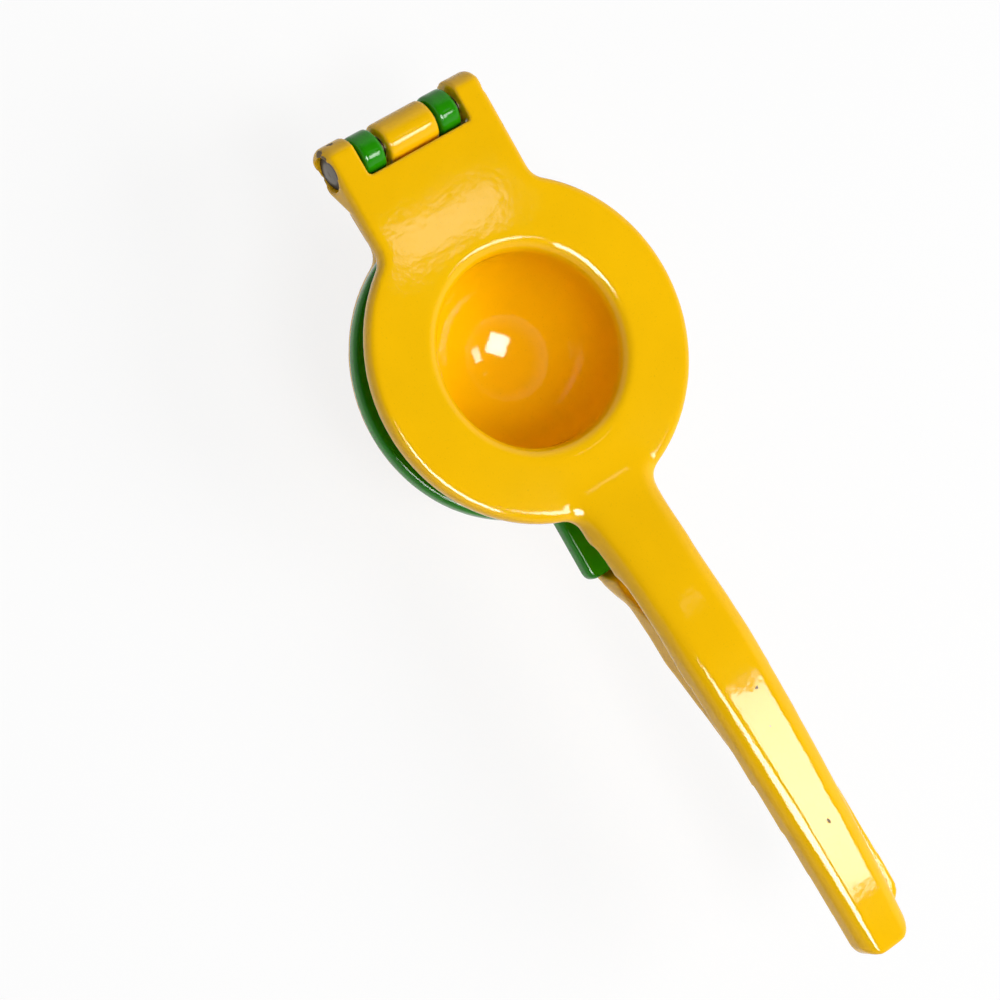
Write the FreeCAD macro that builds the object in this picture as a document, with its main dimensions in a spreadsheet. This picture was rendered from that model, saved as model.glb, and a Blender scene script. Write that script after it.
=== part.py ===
import FreeCAD, Part
import math
import os
import Sketcher

# Hinged lemon squeezer: two nested perforated cups and a press with a domed plunger,
# three enamelled castings on one steel hinge pin.
# Every piece is drawn from the middle of the hinge pin: X runs towards the handles,
# Y along the pin and Z up. The placements then put the origin on the foot of the lower bowl.

V = FreeCAD.Vector

# Driving dimensions in millimetres and degrees
DRIVING = {
    # hinge
    "pin_radius": 2.1,
    "running_gap": 0.06,
    "fixed_gap": 0.01,
    "pin_head_radius": 3.7,
    "pin_head_thick": 0.9,
    "pin_head_rise": 0.3,
    "pin_head_sink": 2.1,
    "pin_head_room": 0.3,
    "pin_to_bowl": 52.0,
    "knuckle_radius": 5.0,
    "knuckle_round": 0.5,
    "knuckle_gap": 0.4,
    "lower_set_over": 1.9,
    # press casting
    "face_above_pin": 4.9,
    "press_radius": 37.0,
    "press_thick": 4.4,
    "press_round": 1.5,
    "neck_half": 19.9,
    "ear_radius": 5.7,
    "ear_depth": 9.2,
    "ear_heel": 3.4,
    "ear_blend_end": 10.0,
    "notch_half": 13.25,
    "notch_edge": 4.3,
    "corner_round": 4.5,
    "dimple_radius": 20.9,
    "dimple_lip": 3.0,
    "dome_wall": 2.8,
    "dome_drop": 26.6,
    "press_length": 199.1,
    "press_root_half": 9.9,
    "press_tip_half": 6.2,
    "press_side": 4.1,
    "press_side_sag": 0.8,
    "press_crown": 1.9,
    "press_crown_least": 0.15,
    "press_sink": 0.2,
    "press_bar_start": 76.0,
    "press_rise_start": 80.0,
    "press_rise_end": 104.0,
    "press_crown_end": 128.0,
    "press_rise": 8.9,
    "press_peak": 177.0,
    "press_arch": 528.0,
    "crown_share": 0.56,
    "shoulder_bend": 5.5,
    "handle_wall": 2.0,
    "tip_round": 4.6,
    "rib_thick": 1.6,
    "rib_bays": 4,
    # cup for small fruit
    "rind_gap": 9.4,
    "cup_rim_radius": 34.5,
    "cup_rim_thick": 4.2,
    "cup_mouth": 25.3,
    "cup_wall": 2.5,
    "cup_floor_gap": 0.4,
    "cup_side_play": 0.3,
    "cup_half": 12.4,
    "cup_arm": 5.2,
    "cup_arm_back": 3.5,
    "cup_arm_foot": 4.2,
    "cup_arm_front": 4.8,
    "cup_arm_drop": 1.3,
    "cup_arm_grip": 6.0,
    "cup_slot_end": 8.0,
    "cup_corner": 3.0,
    "tab_half": 8.0,
    "tab_end": 102.6,
    "tab_round": 2.0,
    # bowl for large fruit
    "nest_gap": 0.3,
    "bowl_rim_radius": 34.8,
    "bowl_rim_thick": 4.2,
    "bowl_mouth": 30.8,
    "bowl_depth": 24.8,
    "bowl_wall": 3.0,
    "foot_radius": 9.0,
    "bowl_side_play": 0.05,
    "bowl_knuckle_half": 6.3,
    "bowl_neck_half": 12.4,
    "bowl_neck_back": 8.0,
    "strut_half": 4.4,
    "strut_drop": 2.2,
    "strut_foot": 0.5,
    "strut_lean": 1.4,
    "strut_grip": 4.0,
    "bowl_length": 195.4,
    "lower_root_half": 7.2,
    "lower_tip_half": 6.3,
    "lower_crown": 2.0,
    "lower_side": 6.4,
    "lower_rise": 14.4,
    "lower_rise_start": 86.0,
    "lower_rise_end": 175.0,
    "lower_wall_gap": 1.2,
    "lower_wall_run": 17.0,
    "lower_root_inset": 0.3,
    # drain slots
    "drain_half": 1.5,
    "drain_bend": 1.65,
    "edge_round": 1.0,
}


class Size:
    # A number that keeps the sheet expression it was worked out with
    def __init__(self, value, text):
        self.value = value
        self.text = text

    def __add__(self, other):
        other = as_size(other)
        return Size(self.value + other.value, "(%s + %s)" % (self.text, other.text))

    def __radd__(self, other):
        return as_size(other) + self

    def __sub__(self, other):
        other = as_size(other)
        return Size(self.value - other.value, "(%s - %s)" % (self.text, other.text))

    def __rsub__(self, other):
        return as_size(other) - self

    def __mul__(self, other):
        other = as_size(other)
        return Size(self.value * other.value, "(%s * %s)" % (self.text, other.text))

    def __rmul__(self, other):
        return as_size(other) * self

    def __truediv__(self, other):
        other = as_size(other)
        return Size(self.value / other.value, "(%s / %s)" % (self.text, other.text))

    def __neg__(self):
        return Size(-self.value, "(0 - %s)" % self.text)


def as_size(item):
    if isinstance(item, Size):
        return item
    return Size(float(item), "(%.6g)" % item)


def root(item):
    return Size(math.sqrt(item.value), "sqrt(%s)" % item.text)


def cosine(item):
    return Size(math.cos(math.radians(item.value)), "cos(%s)" % item.text)


def sine(item):
    return Size(math.sin(math.radians(item.value)), "sin(%s)" % item.text)


doc = FreeCAD.newDocument("lemon_squeezer")
sheet = doc.addObject("Spreadsheet::Sheet", "sizes")
for row, (alias, number) in enumerate(DRIVING.items(), start=1):
    sheet.set("A%d" % row, alias.replace("_", " "))
    sheet.set("B%d" % row, str(number))
    sheet.setAlias("B%d" % row, alias)
doc.recompute()


def size(alias):
    return Size(DRIVING[alias], "sizes.%s" % alias)


# Sizes that follow from the driving ones
bowl_x = size("pin_to_bowl")
face = size("face_above_pin")
press_under = face - size("press_thick")
cup_top = press_under - size("rind_gap")
cup_under = cup_top - size("cup_rim_thick")
bowl_top = cup_under - size("nest_gap")
bowl_under = bowl_top - size("bowl_rim_thick")
dome_radius = size("dimple_radius") + size("dome_wall")
dome_bottom = press_under - size("dome_drop")
dome_middle = dome_bottom + dome_radius
cup_floor = dome_bottom - size("cup_floor_gap")
cup_deep = cup_top - cup_floor
cup_ball = (size("cup_mouth") * size("cup_mouth") + cup_deep * cup_deep) / (2 * cup_deep)
cup_middle = cup_floor + cup_ball
bowl_deep = size("bowl_depth")
bowl_floor = bowl_top - bowl_deep
bowl_ball = (size("bowl_mouth") * size("bowl_mouth") + bowl_deep * bowl_deep) / (2 * bowl_deep)
bowl_middle = bowl_floor + bowl_ball
bowl_outer = bowl_ball + size("bowl_wall")
foot_radius = size("foot_radius")
foot_level = bowl_middle - root(bowl_outer * bowl_outer - foot_radius * foot_radius)
pin_seat = size("neck_half") - size("pin_head_sink")
running_radius = size("pin_radius") + size("running_gap")
fixed_radius = size("pin_radius") + size("fixed_gap")
knuckle = size("knuckle_radius")


def plane_of(body, role):
    return [item for item in body.Origin.OriginFeatures if item.Role == role][0]


def new_body(label):
    body = doc.addObject("PartDesign::Body", label)
    body.Label = label
    return body


def new_sketch(body, role, name, across=0, up=0, lift=0):
    # A sketch on one of the body's own origin planes, moved by its attachment offset
    sketch = body.newObject("Sketcher::SketchObject", name)
    sketch.AttachmentSupport = [(plane_of(body, role), "")]
    sketch.MapMode = "FlatFace"
    for axis, item in (("x", across), ("y", up), ("z", lift)):
        sketch.setExpression("AttachmentOffset.Base." + axis, as_size(item).text)
    return sketch


def pin_point(sketch, geometry, position, x, y):
    # Ties one end or centre to its coordinates in the sketch
    for kind, item in (("DistanceX", as_size(x)), ("DistanceY", as_size(y))):
        tie = sketch.addConstraint(Sketcher.Constraint(kind, -1, 1, geometry, position, item.value))
        sketch.setExpression("Constraints[%d]" % tie, item.text)


def tie_radius(sketch, geometry, radius):
    tie = sketch.addConstraint(Sketcher.Constraint("Radius", geometry, radius.value))
    sketch.setExpression("Constraints[%d]" % tie, radius.text)


def arc_between(a, b, radius):
    # The shorter arc from a to b, which bulges to the right of the way where radius is positive
    half = (b - a).Length / 2
    left = V(a.y - b.y, b.x - a.x, 0).normalize()
    if radius < 0:
        left = left * -1
    centre = (a + b) * 0.5 + left * math.sqrt(max(radius * radius - half * half, 0))
    first, last = (a, b) if radius > 0 else (b, a)
    ends = [math.atan2(point.y - centre.y, point.x - centre.x) for point in (first, last)]
    return Part.ArcOfCircle(Part.Circle(centre, V(0, 0, 1), abs(radius)), ends[0], ends[1])


def outline(sketch, steps):
    # A closed outline, anticlockwise. A step is (x, y), or (x, y, radius) where an arc leaves it.
    points = [V(as_size(step[0]).value, as_size(step[1]).value, 0) for step in steps]
    edges = []
    for number, step in enumerate(steps):
        a = points[number]
        b = points[(number + 1) % len(steps)]
        if len(step) == 3:
            bend = as_size(step[2])
            index = sketch.addGeometry(arc_between(a, b, bend.value), False)
            tie_radius(sketch, index, bend if bend.value > 0 else -bend)
            edges.append((index, 1, 2) if bend.value > 0 else (index, 2, 1))
        else:
            index = sketch.addGeometry(Part.LineSegment(a, b), False)
            edges.append((index, 1, 2))
    for number, (index, start, end) in enumerate(edges):
        following = edges[(number + 1) % len(edges)]
        sketch.addConstraint(Sketcher.Constraint("Coincident", index, end, following[0], following[1]))
        pin_point(sketch, index, start, steps[number][0], steps[number][1])


def rectangle(sketch, x_low, y_low, x_high, y_high):
    outline(sketch, [(x_low, y_low), (x_high, y_low), (x_high, y_high), (x_low, y_high)])


def circle(sketch, x, y, radius):
    x = as_size(x)
    y = as_size(y)
    radius = as_size(radius)
    index = sketch.addGeometry(Part.Circle(V(x.value, y.value, 0), V(0, 0, 1), radius.value), False)
    pin_point(sketch, index, 3, x, y)
    tie_radius(sketch, index, radius)


def finish_feature(body, feature):
    body.Tip = feature
    doc.recompute()
    return feature


def extrude(body, kind, name, sketch, length, reverse=False, both_ways=False):
    feature = body.newObject("PartDesign::" + kind, name)
    feature.Profile = sketch
    feature.setExpression("Length", as_size(length).text)
    feature.Reversed = reverse
    if both_ways:
        feature.SideType = "Symmetric"
    return finish_feature(body, feature)


def turn(body, kind, name, sketch):
    # A full turn about the sketch's own upright axis
    feature = body.newObject("PartDesign::" + kind, name)
    feature.Profile = sketch
    feature.ReferenceAxis = (sketch, ["V_Axis"])
    feature.Angle = 360
    return finish_feature(body, feature)


def loft(body, kind, name, sketches):
    feature = body.newObject("PartDesign::" + kind, name)
    feature.Profile = sketches[0]
    feature.Sections = sketches[1:]
    return finish_feature(body, feature)


def ring_of(body, name, feature, sketch, count):
    pattern = body.newObject("PartDesign::PolarPattern", name)
    pattern.Originals = [feature]
    pattern.Axis = (sketch, ["N_Axis"])
    pattern.Angle = 360
    pattern.Occurrences = count
    return finish_feature(body, pattern)


def soften(body, name, radius, wanted):
    # Rounds those edges of the tip that the test picks out
    base = body.Tip
    picked = ["Edge%d" % number for number, edge in enumerate(base.Shape.Edges, start=1) if wanted(edge)]
    feature = body.newObject("PartDesign::Fillet", name)
    feature.Base = (base, picked)
    feature.setExpression("Radius", as_size(radius).text)
    return finish_feature(body, feature)


def is_corner(edge, x_low, x_high, y):
    # An upright edge between two x limits, where a straight side at plus or minus y meets a rim
    box = edge.BoundBox
    upright = box.ZLength > 1 and box.XLength < 0.01 and box.YLength < 0.01
    return upright and x_low < box.XMin < x_high and abs(abs(box.YMin) - y) < 0.01


def is_level(edge, z):
    box = edge.BoundBox
    return box.ZLength < 0.01 and abs(box.ZMin - z) < 0.01


def swing(sketch, axis, angle):
    # Turns a sketch about one of its own axes
    sketch.AttachmentOffset = FreeCAD.Placement(V(), FreeCAD.Rotation(axis, angle.value))
    sketch.setExpression("AttachmentOffset.Rotation.Angle", angle.text)


def add_knuckle(body, name, y_low, y_high, angle=0):
    # One knuckle of the hinge round the pin's axis, with rounded edges
    sketch = new_sketch(body, "XY_Plane", name + "_sketch")
    if angle:
        swing(sketch, V(0, 0, 1), angle)
    edge = size("knuckle_round")
    outline(sketch, [
        (0, y_low),
        (knuckle - edge, y_low, edge),
        (knuckle, y_low + edge),
        (knuckle, y_high - edge, edge),
        (knuckle - edge, y_high),
        (0, y_high),
    ])
    turn(body, "Revolution", name, sketch)


def bore(body, name, radius, angle=0):
    sketch = new_sketch(body, "XZ_Plane", name + "_sketch")
    if angle:
        swing(sketch, V(0, 1, 0), angle)
    circle(sketch, 0, 0, radius)
    return extrude(body, "Pocket", name, sketch, 4 * size("neck_half"), both_ways=True)


def held(share):
    # A share kept between nothing and all
    if share.value < 0:
        return as_size(0)
    if share.value > 1:
        return as_size(1)
    return share


def eased(share):
    # A share that leaves nothing and reaches all with a level curve
    share = held(share)
    return share * share * (3 - 2 * share)


def handle_half(x, start, end, at_start, at_end):
    # Half width of a handle, which narrows a little faster towards its tip
    share = (as_size(x) - start) / (end - start)
    return at_start - (at_start - at_end) * share * (3 + 2 * share) / 5


def channel_section(body, name, x, half, shoulder, crown, opening):
    # A handle's section: a flat crown, curved shoulders and upright sides to the open edge
    sketch = new_sketch(body, "YZ_Plane", name, lift=x)
    flat = half * size("crown_share")
    bend = size("shoulder_bend")
    if crown.value > shoulder.value:
        steps = [(-half, opening), (half, opening), (half, shoulder, bend), (flat, crown),
                 (-flat, crown, bend), (-half, shoulder)]
    else:
        steps = [(-flat, crown), (flat, crown, bend), (half, shoulder), (half, opening),
                 (-half, opening), (-half, shoulder, bend)]
    outline(sketch, steps)
    return sketch


def hollow_bays(body, name, first, last, level_of):
    # The hollow back of a handle, cut in bays with a cross rib left between two bays
    wall = size("handle_wall")
    rib = size("rib_thick")
    bays = int(DRIVING["rib_bays"])
    pitch = (last - first) / bays
    for bay in range(bays):
        ends = []
        for side, x in (("a", first + pitch * bay), ("b", first + pitch * (bay + 1) - rib)):
            half, shoulder, crown, opening = level_of(x)
            inward = wall if crown.value < shoulder.value else -wall
            ends.append(channel_section(body, "%s_%d%s" % (name, bay, side), x, half - wall,
                                        shoulder + inward, crown + inward, opening + inward))
        loft(body, "SubtractiveLoft", "%s_%d" % (name, bay), ends)


def tip_rounds(body, name, x):
    def at_tip(edge):
        box = edge.BoundBox
        return abs(box.XMin - x.value) < 0.01 and box.XLength < 0.01 and box.YLength < 0.01
    soften(body, name, size("tip_round"), at_tip)


# Press casting
def press_arch(x):
    # Level and slope of the handle's long arch
    arch = size("press_arch")
    along = size("press_peak") - as_size(x)
    depth = root(arch * arch - along * along)
    return face + size("press_rise") - arch + depth, along / depth


def press_levels(x):
    # The handle leaves the disk just under its face and rises into the long arch
    full = as_size(x)
    start = size("press_rise_start")
    end = size("press_rise_end")
    low = face - size("press_sink")
    high, slope = press_arch(end)
    if full.value < end.value:
        share = held((full - start) / (end - start))
        shoulder = low + (high - low) * eased(share) - slope * (end - start) * share * share * (1 - share)
    else:
        shoulder = press_arch(full)[0]
    grown = eased((full - start) / (size("press_crown_end") - start))
    least = size("press_crown_least")
    crown = shoulder + least + (size("press_crown") - least) * grown
    opening = shoulder - size("press_side") - 4 * size("press_side_sag") * grown * (1 - grown)
    half = handle_half(full, size("press_bar_start"), size("press_length"),
                       size("press_root_half"), size("press_tip_half"))
    return half, shoulder, crown, opening


def make_press():
    body = new_body("press_handle")
    thick = size("press_thick")
    half = size("neck_half")
    neck = size("ear_blend_end")
    disk = new_sketch(body, "XY_Plane", "press_disk_sketch", lift=press_under)
    circle(disk, bowl_x, 0, size("press_radius"))
    extrude(body, "Pad", "press_disk", disk, thick)
    plate = new_sketch(body, "XY_Plane", "press_neck_sketch", lift=press_under)
    rectangle(plate, neck, -half, bowl_x, half)
    extrude(body, "Pad", "press_neck", plate, thick)
    heel = new_sketch(body, "XY_Plane", "press_root_sketch", lift=press_under)
    heel_end = bowl_x + size("press_radius") + size("corner_round") + 1
    rectangle(heel, bowl_x, -size("press_root_half"), heel_end, size("press_root_half"))
    extrude(body, "Pad", "press_root", heel, thick)
    ear = size("ear_radius")
    ear_low = face - size("ear_depth")
    profile = new_sketch(body, "XZ_Plane", "press_ear_sketch")
    outline(profile, [
        (-root(ear * ear - ear_low * ear_low), ear_low),
        (size("ear_heel"), ear_low),
        (neck, press_under),
        (neck + 1, press_under),
        (neck + 1, face),
        (-root(ear * ear - face * face), face, ear),
    ])
    extrude(body, "Pad", "press_ears", profile, 2 * half, both_ways=True)
    soften(body, "press_corners", size("corner_round"), lambda edge:
           is_corner(edge, neck.value, bowl_x.value, half.value)
           or is_corner(edge, bowl_x.value, heel_end.value - 1, size("press_root_half").value))

    def on_rim(edge):
        box = edge.BoundBox
        side = box.YLength < 0.01 and abs(abs(box.YMin) - half.value) < 0.01 and box.XMax < neck.value + 2
        flat = is_level(edge, face.value) or is_level(edge, press_under.value)
        inner = box.YMin < 0 < box.YMax and box.XLength < 0.01 and box.XMin < bowl_x.value
        end = is_level(edge, face.value) and box.XLength < 0.01
        return side or (flat and not inner and not end)
    soften(body, "press_rim", size("press_round"), on_rim)
    dome = new_sketch(body, "XZ_Plane", "press_dome_sketch", across=bowl_x)
    outline(dome, [
        (0, dome_bottom, dome_radius),
        (dome_radius, dome_middle),
        (dome_radius, face - thick / 2),
        (0, face - thick / 2),
    ])
    turn(body, "Revolution", "press_dome", dome)
    inner = size("dimple_radius")
    lip = size("dimple_lip")
    dimple = new_sketch(body, "XZ_Plane", "press_dimple_sketch", across=bowl_x)
    outline(dimple, [
        (0, dome_middle - inner, inner),
        (inner, dome_middle),
        (inner, face - lip, -lip),
        (inner + lip, face),
        (inner + lip, face + 1),
        (0, face + 1),
    ])
    turn(body, "Groove", "press_dimple", dimple)
    sections = []
    start = size("press_bar_start")
    length = size("press_length")
    for number in range(18):
        x = start + (length - start) * number / 17
        sections.append(channel_section(body, "press_section_%d" % number, x, *press_levels(x)))
    loft(body, "AdditiveLoft", "press_bar", sections)
    tip_rounds(body, "press_tip", length)
    notch = new_sketch(body, "XY_Plane", "press_notch_sketch")
    inside = size("notch_half")
    rectangle(notch, -2 * ear, -inside, size("notch_edge"), inside)
    extrude(body, "Pocket", "press_notch", notch, 4 * ear, both_ways=True)
    under = new_sketch(body, "XZ_Plane", "press_under_sketch")
    rectangle(under, 0, 2 * ear_low, neck + 2, press_under)
    extrude(body, "Pocket", "press_under", under, 2 * inside, both_ways=True)
    scoop = new_sketch(body, "XZ_Plane", "press_scoop_sketch")
    circle(scoop, 0, 0, knuckle + size("knuckle_gap"))
    extrude(body, "Pocket", "press_scoop", scoop, 2 * inside, both_ways=True)
    bore(body, "press_bore", fixed_radius)
    for side, lift, reverse in (("left", pin_seat, True), ("right", -pin_seat, False)):
        seat = new_sketch(body, "XZ_Plane", "press_seat_%s_sketch" % side, lift=lift)
        circle(seat, 0, 0, size("pin_head_radius") + size("pin_head_room"))
        extrude(body, "Pocket", "press_seat_" + side, seat, 2 * size("pin_head_sink"), reverse)
    hollow_bays(body, "press_bay", heel_end, length - 2 * size("handle_wall"), press_levels)
    return body


# Cup for small fruit
def drains(body, name, level, rings):
    # Rings of short radial slots through a cup's floor
    reach = size("bowl_depth")
    width = size("drain_half")
    bend = size("drain_bend")
    for number, (near, far, count) in enumerate(rings):
        slot = new_sketch(body, "XY_Plane", "%s_sketch_%d" % (name, number), across=bowl_x, lift=level)
        outline(slot, [
            (near, -width),
            (far, -width, bend),
            (far, width),
            (near, width, bend),
        ])
        cut = extrude(body, "Pocket", "%s_slot_%d" % (name, number), slot, reach, both_ways=True)
        ring_of(body, "%s_ring_%d" % (name, number), cut, slot, count)


def shell(body, name, floor, middle, ball, wall, under):
    # The cup's outside as a ball segment under its rim
    bowl = new_sketch(body, "XZ_Plane", name + "_ball_sketch", across=bowl_x)
    outer = ball + wall
    edge_radius = root(outer * outer - (under - middle) * (under - middle))
    outline(bowl, [
        (0, floor - wall, outer),
        (edge_radius, under),
        (edge_radius, under + 1),
        (0, under + 1),
    ])
    turn(body, "Revolution", name + "_ball", bowl)


def scoop_out(body, name, top, floor, middle, ball):
    # The cup's inside, with a rounded brim
    brim = size("edge_round")
    low = top - brim
    throat = root(ball * ball - (low - middle) * (low - middle))
    inside = new_sketch(body, "XZ_Plane", name + "_inside_sketch", across=bowl_x)
    outline(inside, [
        (0, floor, ball),
        (throat, low, -brim),
        (throat + brim, top),
        (throat + brim, top + 1),
        (0, top + 1),
    ])
    turn(body, "Groove", name + "_inside", inside)


def rim_plate(body, name, radius, thick, level, boxes, corners):
    # A flat ring blank with the neck and the tab or handle root that grow from it
    disk = new_sketch(body, "XY_Plane", name + "_rim_sketch", lift=level)
    circle(disk, bowl_x, 0, radius)
    extrude(body, "Pad", name + "_rim", disk, thick)
    for label, x_low, x_high, half in boxes:
        plate = new_sketch(body, "XY_Plane", "%s_%s_sketch" % (name, label), lift=level)
        rectangle(plate, x_low, -half, x_high, half)
        extrude(body, "Pad", "%s_%s" % (name, label), plate, thick)
    soften(body, name + "_corners", corners, lambda edge: any(
        is_corner(edge, x_low.value + 0.5, x_high.value - 0.5, half.value)
        for label, x_low, x_high, half in boxes))


def make_cup():
    body = new_body("lime_cup")
    thick = size("cup_rim_thick")
    half = size("cup_half")
    slot_end = size("cup_slot_end")
    rim_plate(body, "cup", size("cup_rim_radius"), thick, cup_under, [
        ("neck", slot_end, bowl_x, half),
        ("tab", bowl_x, size("tab_end"), size("tab_half")),
    ], size("cup_corner"))
    soften(body, "cup_tab_end", size("tab_round"), lambda edge:
           is_corner(edge, size("tab_end").value - 0.01, size("tab_end").value + 0.01, size("tab_half").value))
    soften(body, "cup_edges", size("edge_round"), lambda edge:
           edge.BoundBox.ZLength < 0.01 and edge.BoundBox.XMax > slot_end.value + 0.1)
    shell(body, "cup", cup_floor, cup_middle, cup_ball, size("cup_wall"), cup_under)
    scoop_out(body, "cup", cup_top, cup_floor, cup_middle, cup_ball)
    arm = new_sketch(body, "XZ_Plane", "cup_arm_sketch")
    back = size("cup_arm_back")
    grip = slot_end + size("cup_arm_grip")
    outline(arm, [
        (-back, -back),
        (size("cup_arm_foot"), cup_under),
        (grip, cup_under),
        (grip, cup_top),
        (grip - 1, cup_top),
        (size("cup_arm_front"), -size("cup_arm_drop")),
        (0, 0),
    ])
    extrude(body, "Pad", "cup_arms", arm, 2 * half, both_ways=True)
    gap = new_sketch(body, "XY_Plane", "cup_slot_sketch")
    inside = half - size("cup_arm")
    rectangle(gap, -2 * knuckle, -inside, slot_end, inside)
    extrude(body, "Pocket", "cup_slot", gap, 8 * knuckle, both_ways=True)
    add_knuckle(body, "cup_knuckle_left", -half, -inside)
    add_knuckle(body, "cup_knuckle_right", inside, half)
    bore(body, "cup_bore", running_radius)
    drains(body, "cup_drain", cup_floor, ((6.0, 9.5, 6), (13.5, 18.0, 12)))
    return body


# Bowl for large fruit, with the lower handle
def bowl_levels(x):
    # The handle's flat back rises in one long curve, its walls just behind the cup's tab
    full = as_size(x)
    start = size("lower_rise_start")
    crown = bowl_under + size("lower_rise") * eased((full - start) / (size("lower_rise_end") - start))
    step = eased((full - size("tab_end") - size("lower_wall_gap")) / size("lower_wall_run"))
    shoulder = crown + size("lower_crown") * (1 + step) / 2
    tall = crown + size("lower_crown") + size("lower_side")
    opening = bowl_top + (tall - bowl_top) * step
    half = handle_half(full, start, size("bowl_length"), size("lower_root_half"), size("lower_tip_half"))
    return half, shoulder, crown, opening


def make_bowl():
    body = new_body("lemon_bowl")
    thick = size("bowl_rim_thick")
    set_over = size("lower_set_over")
    back = size("bowl_neck_back")
    heel_end = bowl_x + size("bowl_rim_radius") + size("corner_round") + 3
    rim_plate(body, "bowl", size("bowl_rim_radius"), thick, bowl_under, [
        ("neck", back, bowl_x, size("bowl_neck_half")),
        ("root", bowl_x, heel_end, size("lower_root_half") - size("lower_root_inset")),
    ], size("corner_round"))
    soften(body, "bowl_edges", size("edge_round"), lambda edge:
           edge.BoundBox.ZLength < 0.01 and edge.BoundBox.XMax > back.value + 0.1
           and not (edge.BoundBox.XLength < 0.01 and edge.BoundBox.XMin > bowl_x.value))
    start = heel_end - 10
    span = size("bowl_length") - start
    sections = []
    for number in range(15):
        x = start + span * number / 14
        sections.append(channel_section(body, "bowl_section_%d" % number, x, *bowl_levels(x)))
    loft(body, "AdditiveLoft", "bowl_bar", sections).Ruled = True
    doc.recompute()
    tip_rounds(body, "bowl_tip", size("bowl_length"))
    shell(body, "bowl", bowl_floor, bowl_middle, bowl_ball, size("bowl_wall"), bowl_under)
    scoop_out(body, "bowl", bowl_top, bowl_floor, bowl_middle, bowl_ball)
    foot = new_sketch(body, "XY_Plane", "bowl_foot_sketch", lift=foot_level)
    circle(foot, bowl_x, 0, size("bowl_rim_radius"))
    extrude(body, "Pocket", "bowl_foot", foot, size("bowl_depth"))
    side = size("bowl_side_play")
    wide = size("bowl_knuckle_half")
    strut = new_sketch(body, "XZ_Plane", "bowl_strut_sketch",
                       across=-(side * sine(set_over)), lift=side * cosine(set_over))
    swing(strut, V(0, 1, 0), -set_over)
    grip = back + size("strut_grip")
    outline(strut, [
        (-size("strut_half"), -size("strut_drop")),
        (-size("strut_foot"), bowl_under),
        (grip, bowl_under),
        (grip, bowl_top),
        (back - size("strut_lean"), bowl_top),
        (size("strut_half"), -size("strut_drop")),
        (0, 0),
    ])
    extrude(body, "Pad", "bowl_strut", strut, 2 * wide, both_ways=True)
    add_knuckle(body, "bowl_knuckle", -wide - side, wide - side, -set_over)
    bore(body, "bowl_bore", running_radius, -set_over)
    hollow_bays(body, "bowl_bay", size("tab_end") + size("lower_wall_gap") + size("handle_wall"),
                size("bowl_length") - 2 * size("handle_wall"), bowl_levels)
    drains(body, "bowl_drain", bowl_floor, ((6.5, 10.5, 6), (14.5, 20.0, 12)))
    return body


# Hinge pin, a rivet with a flat domed head sunk in each ear
def make_pin():
    body = new_body("hinge_pin")
    head = size("pin_head_radius")
    rise = size("pin_head_rise")
    ball = (head * head + rise * rise) / (2 * rise)
    shank = size("pin_radius")
    edge = pin_seat + size("pin_head_thick")
    profile = new_sketch(body, "XY_Plane", "pin_sketch")
    outline(profile, [
        (0, -edge - rise, ball),
        (head, -edge),
        (head, -pin_seat),
        (shank, -pin_seat),
        (shank, pin_seat),
        (head, pin_seat),
        (head, edge, ball),
        (0, edge + rise),
    ])
    turn(body, "Revolution", "pin", profile)
    return body


press = make_press()
cup = make_cup()
bowl = make_bowl()
pin = make_pin()

# The foot's middle becomes the origin
set_over = size("lower_set_over")
for body in (press, cup, bowl, pin):
    body.setExpression("Placement.Base.x", (-(bowl_x * cosine(set_over))).text)
    body.setExpression("Placement.Base.z", (-foot_level).text)
middle_y = -(bowl_x * sine(set_over))
for body in (press, bowl, pin):
    body.setExpression("Placement.Base.y", middle_y.text)
cup.setExpression("Placement.Base.y", (middle_y - size("cup_side_play")).text)
bowl.Placement.Rotation = FreeCAD.Rotation(V(0, 0, 1), set_over.value)
bowl.setExpression("Placement.Rotation.Angle", set_over.text)
doc.recompute()

for item in doc.Objects:
    if "Invalid" in item.State or "Error" in item.State:
        raise RuntimeError("%s is not valid: %s" % (item.Name, item.State))
os.makedirs("parts", exist_ok=True)
for body in (press, cup, bowl, pin):
    shape = body.Shape
    if shape.isNull() or not shape.isValid() or len(shape.Solids) != 1:
        raise RuntimeError("%s has no single valid solid" % body.Label)
    shape.exportStep("parts/%s.step" % body.Label)
    print(body.Label, round(shape.Volume), shape.BoundBox)
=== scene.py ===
"""Hinged lemon squeezer: the finish of the castings, the studio and the photograph's camera."""
import math

import bpy
import numpy as np
from mathutils import Matrix, Vector


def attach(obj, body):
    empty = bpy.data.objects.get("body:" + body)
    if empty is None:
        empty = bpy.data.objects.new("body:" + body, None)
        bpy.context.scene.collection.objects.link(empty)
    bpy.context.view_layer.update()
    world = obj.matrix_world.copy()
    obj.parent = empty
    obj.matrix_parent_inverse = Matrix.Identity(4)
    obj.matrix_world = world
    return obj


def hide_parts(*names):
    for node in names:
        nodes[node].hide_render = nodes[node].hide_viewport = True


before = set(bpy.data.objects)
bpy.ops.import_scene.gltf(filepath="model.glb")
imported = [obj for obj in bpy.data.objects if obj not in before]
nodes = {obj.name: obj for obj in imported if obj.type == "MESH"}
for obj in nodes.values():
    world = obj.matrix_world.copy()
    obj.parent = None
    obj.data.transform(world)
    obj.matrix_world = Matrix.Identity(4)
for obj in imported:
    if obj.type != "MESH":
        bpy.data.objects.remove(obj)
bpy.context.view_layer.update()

# Colours
YELLOW = (0.93, 0.515, 0.001)
GREEN = (0.018, 0.285, 0.001)
STEEL = (0.20, 0.18, 0.155)
# Painted shade for the recess round the pin's heads
RECESS_SHADE = (0.02, 0.015, 0.01)
WORN = (0.19, 0.13, 0.06)

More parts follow.
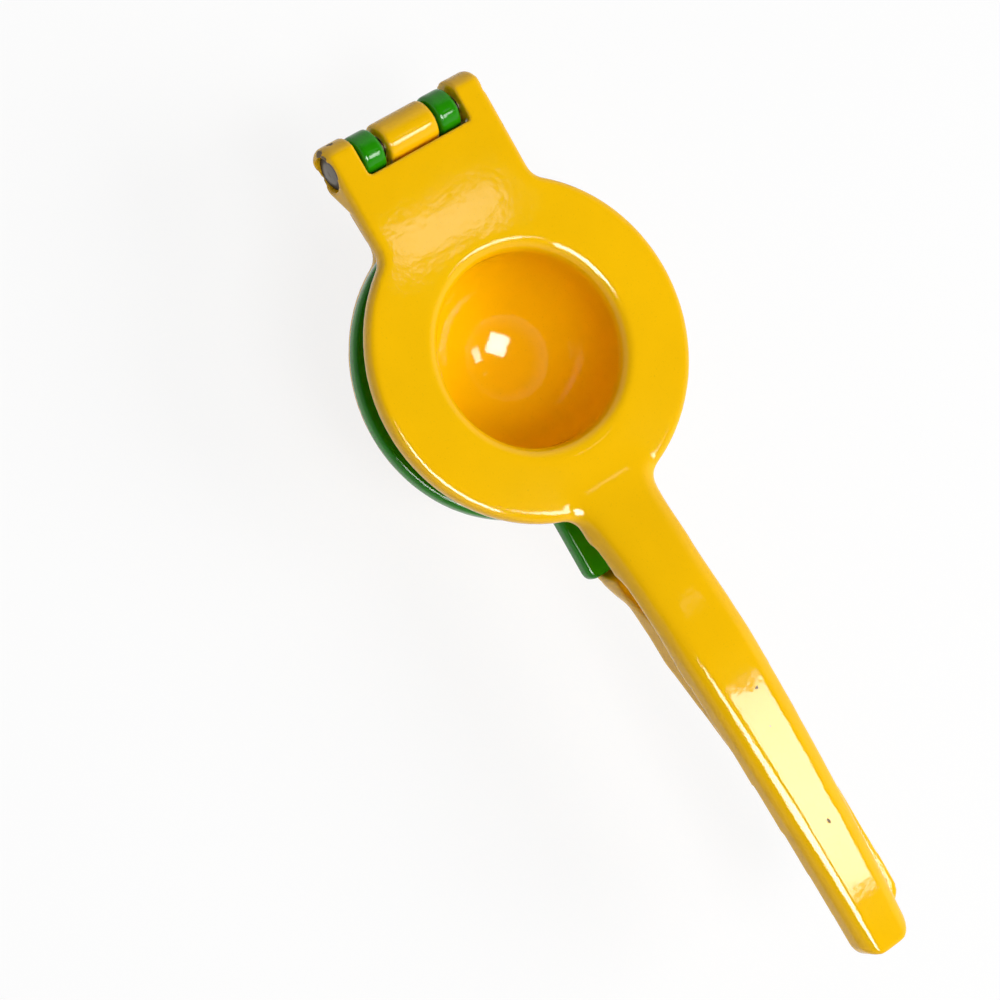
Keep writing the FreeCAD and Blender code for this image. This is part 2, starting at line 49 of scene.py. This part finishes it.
# Enamel
ROUGHNESS = 0.06
CHIP_ROUGHNESS = 0.6
SPECULAR = 0.25

# Castings, in metres
VOXEL = 0.0004
EDGE = 0.0006
EDGE_ROUNDS = 5
RELAX = 0.5
MIDDLE = -0.0017  # y of the press's middle line

# Light
AMBIENT = 0.2
OVERHEAD = 0.06
FLOOR_GLOW = 0.85

# Chips in the press's enamel, read off the photograph: a centre in millimetres and a radius
CHIPS = (
    ((-57.2, -18.4, 42.2), 0.7),
    ((-56.6, -21.6, 41.6), 1.1),
    ((-55.2, -21.6, 43.0), 0.8),
    ((84.6, 0.4, 54.2), 0.35),
    ((92.8, -1.7, 54.7), 0.2),
    ((116.6, -1.0, 55.6), 0.35),
)


# Node helpers
def new_material(name):
    material = bpy.data.materials.new(name)
    material.use_nodes = True
    tree = material.node_tree
    return material, tree, tree.nodes["Principled BSDF"]


def add_node(tree, kind, **inputs):
    node = tree.nodes.new(kind)
    for key, value in inputs.items():
        node.inputs[key.replace("_", " ")].default_value = value
    return node


def set_or_link(tree, socket, item):
    if isinstance(item, bpy.types.NodeSocket):
        tree.links.new(item, socket)
    else:
        socket.default_value = item


def place(tree):
    # The point's place in the piece's own frame, in metres
    return tree.nodes.new("ShaderNodeTexCoord").outputs["Object"]


def noise(tree, scale, detail=3.0):
    texture = add_node(tree, "ShaderNodeTexNoise", Scale=scale, Detail=detail)
    tree.links.new(place(tree), texture.inputs["Vector"])
    return texture.outputs["Fac"]


def bump(tree, height, strength, distance, under=None):
    # A bumped normal, on top of another where one is given
    node = add_node(tree, "ShaderNodeBump", Strength=strength, Distance=distance)
    tree.links.new(height, node.inputs["Height"])
    if under is not None:
        tree.links.new(under, node.inputs["Normal"])
    return node.outputs["Normal"]


def combine(tree, operation, first, second):
    node = tree.nodes.new("ShaderNodeMath")
    node.operation = operation
    tree.links.new(first, node.inputs[0])
    tree.links.new(second, node.inputs[1])
    return node.outputs[0]


def mix_colour(tree, factor, first, second):
    node = tree.nodes.new("ShaderNodeMix")
    node.data_type = "RGBA"
    set_or_link(tree, node.inputs["Factor"], factor)
    set_or_link(tree, node.inputs[6], first)
    set_or_link(tree, node.inputs[7], second)
    return node.outputs[2]


def mix_shader(tree, factor, first, second):
    node = tree.nodes.new("ShaderNodeMixShader")
    set_or_link(tree, node.inputs["Fac"], factor)
    tree.links.new(first, node.inputs[1])
    tree.links.new(second, node.inputs[2])
    return node.outputs["Shader"]


def stretch(tree, value, low, high, to_low=0.0, to_high=1.0):
    node = add_node(tree, "ShaderNodeMapRange",
                    From_Min=low, From_Max=high, To_Min=to_low, To_Max=to_high)
    tree.links.new(value, node.inputs["Value"])
    return node.outputs["Result"]


def shade(colour, share=1.0):
    return (*[part * share for part in colour], 1)


# Materials
def marks(tree, spots):
    # 1 inside small ragged spots, each a centre in millimetres and a radius
    ragged = stretch(tree, noise(tree, 1400, 2.0), 0.3, 0.7, -0.0003, 0.0003)
    total = None
    for centre, radius in spots:
        reach = tree.nodes.new("ShaderNodeVectorMath")
        reach.operation = "DISTANCE"
        tree.links.new(place(tree), reach.inputs[0])
        reach.inputs[1].default_value = [part * 0.001 for part in centre]
        frayed = combine(tree, "ADD", reach.outputs["Value"], ragged)
        inside = stretch(tree, frayed, radius * 0.00085, radius * 0.00115, 1.0, 0.0)
        total = inside if total is None else combine(tree, "MAXIMUM", total, inside)
    return total


def enamel(name, colour, deep_share, spots=()):
    # Thick glossy enamel: small drifts of colour, soft edges, faint waves and orange peel
    material, tree, shader = new_material(name)
    drift = mix_colour(tree, stretch(tree, noise(tree, 60), 0.3, 0.75),
                       shade(colour, deep_share), shade(colour))
    specks = stretch(tree, noise(tree, 2600, 2.0), 0.62, 0.78, 0.0, 0.35)
    finish = mix_colour(tree, specks, drift, shade(colour, 0.62))
    shader.inputs["Roughness"].default_value = ROUGHNESS
    if spots:
        chipped = marks(tree, spots)
        finish = mix_colour(tree, chipped, finish, shade(WORN))
        tree.links.new(stretch(tree, chipped, 0, 1, ROUGHNESS, CHIP_ROUGHNESS),
                       shader.inputs["Roughness"])
    tree.links.new(finish, shader.inputs["Base Color"])
    shader.inputs["Specular IOR Level"].default_value = SPECULAR
    edge = add_node(tree, "ShaderNodeBevel", Radius=EDGE)
    edge.samples = 6
    waves = bump(tree, noise(tree, 200, 1.0), 0.03, 0.0006, edge.outputs["Normal"])
    peel = bump(tree, noise(tree, 900, 2.0), 0.025, 0.0004, waves)
    tree.links.new(peel, shader.inputs["Normal"])
    return material


def steel(name, centre, radius):
    # Worn steel, with a painted shade ring round the pin's heads, where the recess round each
    # head is in shadow
    material, tree, shader = new_material(name)
    metal = mix_colour(tree, noise(tree, 500), shade(STEEL, 0.6), shade(STEEL))
    reach = place(tree)
    for operation, amount in (("SUBTRACT", centre), ("MULTIPLY", (1, 0, 1)), ("LENGTH", None)):
        step = tree.nodes.new("ShaderNodeVectorMath")
        step.operation = operation
        tree.links.new(reach, step.inputs[0])
        if amount is not None:
            step.inputs[1].default_value = amount
        reach = step.outputs["Value" if operation == "LENGTH" else "Vector"]
    # Painted shade: darker towards the rim of each head, standing in for the recess's shadow
    ring = stretch(tree, reach, radius * 0.6, radius * 0.75, 0.0, 0.85)
    tree.links.new(mix_colour(tree, ring, metal, shade(RECESS_SHADE)), shader.inputs["Base Color"])
    shader.inputs["Metallic"].default_value = 1.0
    shader.inputs["Roughness"].default_value = 0.38
    tree.links.new(bump(tree, noise(tree, 1500), 0.2, 0.0002), shader.inputs["Normal"])
    return material


def dress_pin(pin):
    # The pin keeps the frame's own shape
    corners = np.array([corner[:] for corner in pin.bound_box])
    middle = corners.mean(axis=0)
    material = steel("pin_steel", middle, corners[:, 2].max() - middle[2])
    pin.data.materials.clear()
    pin.data.materials.append(material)


yellow = enamel("yellow_enamel", YELLOW, 0.94)
worn_yellow = enamel("worn_yellow_enamel", YELLOW, 0.94, CHIPS)
green = enamel("green_enamel", GREEN, 0.85)
dress_pin(nodes["hinge_pin"])


# Enamelled castings: the frame's own solids with the soft edges and blends of a dipped casting
def remeshed(name):
    # The node's surface as one even mesh
    holder = bpy.data.objects.new(name + "_holder", nodes[name].data)
    bpy.context.scene.collection.objects.link(holder)
    modifier = holder.modifiers.new("even", "REMESH")
    modifier.mode = "VOXEL"
    modifier.voxel_size = VOXEL
    bpy.context.view_layer.update()
    graph = bpy.context.evaluated_depsgraph_get()
    mesh = bpy.data.meshes.new_from_object(holder.evaluated_get(graph))
    bpy.data.objects.remove(holder)
    return mesh


def relax(points, edges, weight, rounds):
    # Draws each point towards the middle of its neighbours, as far as its weight says
    count = len(points)
    near = np.bincount(edges.ravel(), minlength=count)[:, None]
    for _ in range(rounds):
        total = np.empty_like(points)
        for axis in range(3):
            total[:, axis] = (np.bincount(edges[:, 0], points[edges[:, 1], axis], count)
                              + np.bincount(edges[:, 1], points[edges[:, 0], axis], count))
        points += (total / near - points) * weight[:, None]


def casting(name, body, material, blends=(), reshape=None):
    # blends holds pairs of a function that weighs the points, and its rounds of smoothing
    mesh = remeshed(name)
    points = np.empty(len(mesh.vertices) * 3)
    mesh.vertices.foreach_get("co", points)
    points = points.reshape(-1, 3)
    edges = np.empty(len(mesh.edges) * 2, dtype=np.int32)
    mesh.edges.foreach_get("vertices", edges)
    edges = edges.reshape(-1, 2)
    if reshape:
        reshape(points)
    relax(points, edges, np.full(len(points), RELAX), EDGE_ROUNDS)
    for weigh, rounds in blends:
        relax(points, edges, weigh(points), rounds)
    mesh.vertices.foreach_set("co", points.ravel())
    mesh.materials.clear()
    mesh.materials.append(material)
    mesh.polygons.foreach_set("use_smooth", [True] * len(mesh.polygons))
    mesh.update()
    piece = bpy.data.objects.new(name + "_casting", mesh)
    bpy.context.scene.collection.objects.link(piece)
    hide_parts(name)
    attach(piece, body)


def fade(value, low, high):
    # Eases from 0 at low to 1 at high
    share = np.clip((value - low) / (high - low), 0, 1)
    return share * share * (3 - 2 * share)


def handle_root(points):
    # Where the handle flows out of the press's plate
    x, y, z = points.T
    along = fade(x, 0.020, 0.028) * (1 - fade(x, 0.052, 0.075))
    across = 1 - fade(np.abs(y - MIDDLE), 0.010, 0.0125)
    return RELAX * along * fade(z, 0.0436, 0.0446) * across


def handle_heel(points):
    # The heel under the handle's root, where a casting has no sharp step
    x, _, z = points.T
    along = fade(x, 0.034, 0.038) * (1 - fade(x, 0.046, 0.052))
    return RELAX * along * (1 - fade(z, 0.0425, 0.0445))


def level_root(points):
    # The handle's raised sides start level with the plate's face
    x, _, z = points.T
    level = np.interp(x, (0.020, 0.030, 0.032, 0.034, 0.036, 0.038, 0.040),
                      (0.04491, 0.04491, 0.04513, 0.04543, 0.04581, 0.04631, 0.04694))
    inside = (x > 0.020) & (x < 0.040) & (z > 0.0440)
    points[inside, 2] = np.minimum(z, level)[inside]


def raise_walls(points):
    # Behind the cup's tab the lower handle's walls stand taller, and the near one further out
    x, y, z = points.T
    lift = np.interp(x, (0.0512, 0.0524, 0.0570, 0.0660, 0.0740), (0, 0.0064, 0.0064, 0.0020, 0))
    out = np.interp(x, (0.0490, 0.0530, 0.0570, 0.0660), (0, 0.0013, 0.0013, 0))
    points[:, 1] -= out * (1 - fade(y, -0.0045, -0.0015))
    points[:, 2] += lift * fade(z, 0.0240, 0.0268)


casting("press_handle", "press", worn_yellow,
        [(handle_root, 160), (handle_heel, 20)], level_root)
casting("lime_cup", "lime_cup", green)
casting("lemon_bowl", "lemon_bowl", yellow, reshape=raise_walls)


# Floor and background
def seen_directly(tree):
    # 1 for camera, mirror and glass rays, and 0 for the light that falls on things
    path = tree.nodes.new("ShaderNodeLightPath")
    total = path.outputs["Is Camera Ray"]
    for name in ("Is Glossy Ray", "Is Transmission Ray"):
        total = combine(tree, "MAXIMUM", total, path.outputs[name])
    return total


def pale_floor(half=6.0):
    # Glows nearly white to the camera, and still shows the object's shadow
    mesh = bpy.data.meshes.new("floor")
    corners = [(-half, -half, 0), (half, -half, 0), (half, half, 0), (-half, half, 0)]
    mesh.from_pydata(corners, [], [(0, 1, 2, 3)])
    floor = bpy.data.objects.new("floor", mesh)
    bpy.context.scene.collection.objects.link(floor)
    material, tree, shader = new_material("pale_floor")
    shader.inputs["Base Color"].default_value = (0.86, 0.86, 0.86, 1)
    shader.inputs["Roughness"].default_value = 0.9
    shader.inputs["Specular IOR Level"].default_value = 0.0
    plain = shader.outputs["BSDF"]
    white = add_node(tree, "ShaderNodeEmission", Color=(1, 1, 1, 1), Strength=1.0)
    glowing = mix_shader(tree, FLOOR_GLOW, plain, white.outputs["Emission"])
    mixed = mix_shader(tree, seen_directly(tree), plain, glowing)
    tree.links.new(mixed, tree.nodes["Material Output"].inputs["Surface"])
    mesh.materials.append(material)


def white_surround():
    # White all round for mirror rays, with a dim ceiling that leaves the enamel's faces deep
    world = bpy.data.worlds.new("studio")
    bpy.context.scene.world = world
    world.use_nodes = True
    tree = world.node_tree
    background = tree.nodes["Background"]
    background.inputs["Color"].default_value = (1, 1, 1, 1)
    direction = tree.nodes.new("ShaderNodeTexCoord").outputs["Generated"]
    height = tree.nodes.new("ShaderNodeSeparateXYZ")
    tree.links.new(direction, height.inputs["Vector"])
    ceiling = stretch(tree, height.outputs["Z"], 0.55, 0.8, 1.0, OVERHEAD)
    path = tree.nodes.new("ShaderNodeLightPath")
    mirrored = combine(tree, "MAXIMUM", path.outputs["Is Camera Ray"], ceiling)
    strength = add_node(tree, "ShaderNodeMix", A=AMBIENT)
    tree.links.new(seen_directly(tree), strength.inputs["Factor"])
    tree.links.new(mirrored, strength.inputs["B"])
    tree.links.new(strength.outputs["Result"], background.inputs["Strength"])


# Lamps
def area_light(name, centre, aim, size, brightness, roll=(1, 0, 0), beam=180):
    # brightness is per area, so that a reflection keeps its tone at any size and beam in degrees
    width, height = size
    lamp = bpy.data.lights.new(name, "AREA")
    lamp.shape = "RECTANGLE"
    lamp.size = width
    lamp.size_y = height
    lamp.energy = brightness * math.pi * width * height
    if beam < 180:
        half = math.radians(beam) / 2
        lamp.spread = 2 * half
        lamp.energy *= 1 - half / math.tan(half)
    item = bpy.data.objects.new(name, lamp)
    bpy.context.scene.collection.objects.link(item)
    back = (Vector(centre) - Vector(aim)).normalized()
    across = Vector(roll)
    across = (across - back * across.dot(back)).normalized()
    turn = Matrix((across, back.cross(across), back)).transposed().to_4x4()
    item.matrix_world = Matrix.Translation(centre) @ turn
    return item


def studio_lamps():
    middle = (0, 0, 0.03)
    diagonal = (1, 1, 0)
    softbox = Vector((0.309, -0.101, 0.946))
    side = Vector((0.42, 0.6, 0.68))
    # Light on the object, which its gloss doesn't mirror
    overhead = area_light("overhead", softbox * 1.3, middle, (0.52, 0.52), 9.2, diagonal)
    key = area_light("key", side * 1.5, middle, (0.8, 0.8), 7.0)
    for lamp in (overhead, key):
        lamp.visible_glossy = False
    # Cards that only show as reflections in the enamel, each in a narrow beam:
    # in the hollow plunger, along the handle's crown and on the neck
    crown = (0.095, 0, 0.055)
    neck = (-0.031, -0.005, 0.045)
    cards = (
        area_light("diamond_card", softbox * 1.2, middle, (0.50, 0.50), 44.0, diagonal, beam=90),
        area_light("strip_card", (0.226, 0.272, 0.645), crown, (0.208, 0.115), 25.0, beam=90),
        area_light("neck_card", (-0.025, 0.28, 0.645), neck, (0.016, 0.056), 7.0, beam=20),
    )
    for card in cards:
        card.visible_diffuse = False


# Camera at the photograph's view
def photo_camera():
    data = bpy.data.cameras.new("camera")
    data.sensor_width = 36.0
    data.lens = 103.35
    data.clip_end = 20.0
    camera = bpy.data.objects.new("camera", data)
    bpy.context.scene.collection.objects.link(camera)
    position = (-0.03647, -0.2629, 0.5848)
    right = Vector((0.4903, 0.7765, 0.3957))
    up = Vector((-0.8657, 0.4866, 0.1177))
    back = Vector((-0.1011, -0.4003, 0.9108))
    turn = Matrix((right, up, back)).transposed().to_4x4()
    camera.matrix_world = Matrix.Translation(position) @ turn
    bpy.context.scene.camera = camera


pale_floor()
white_surround()
studio_lamps()
photo_camera()
bpy.context.scene.view_settings.view_transform = "Standard"
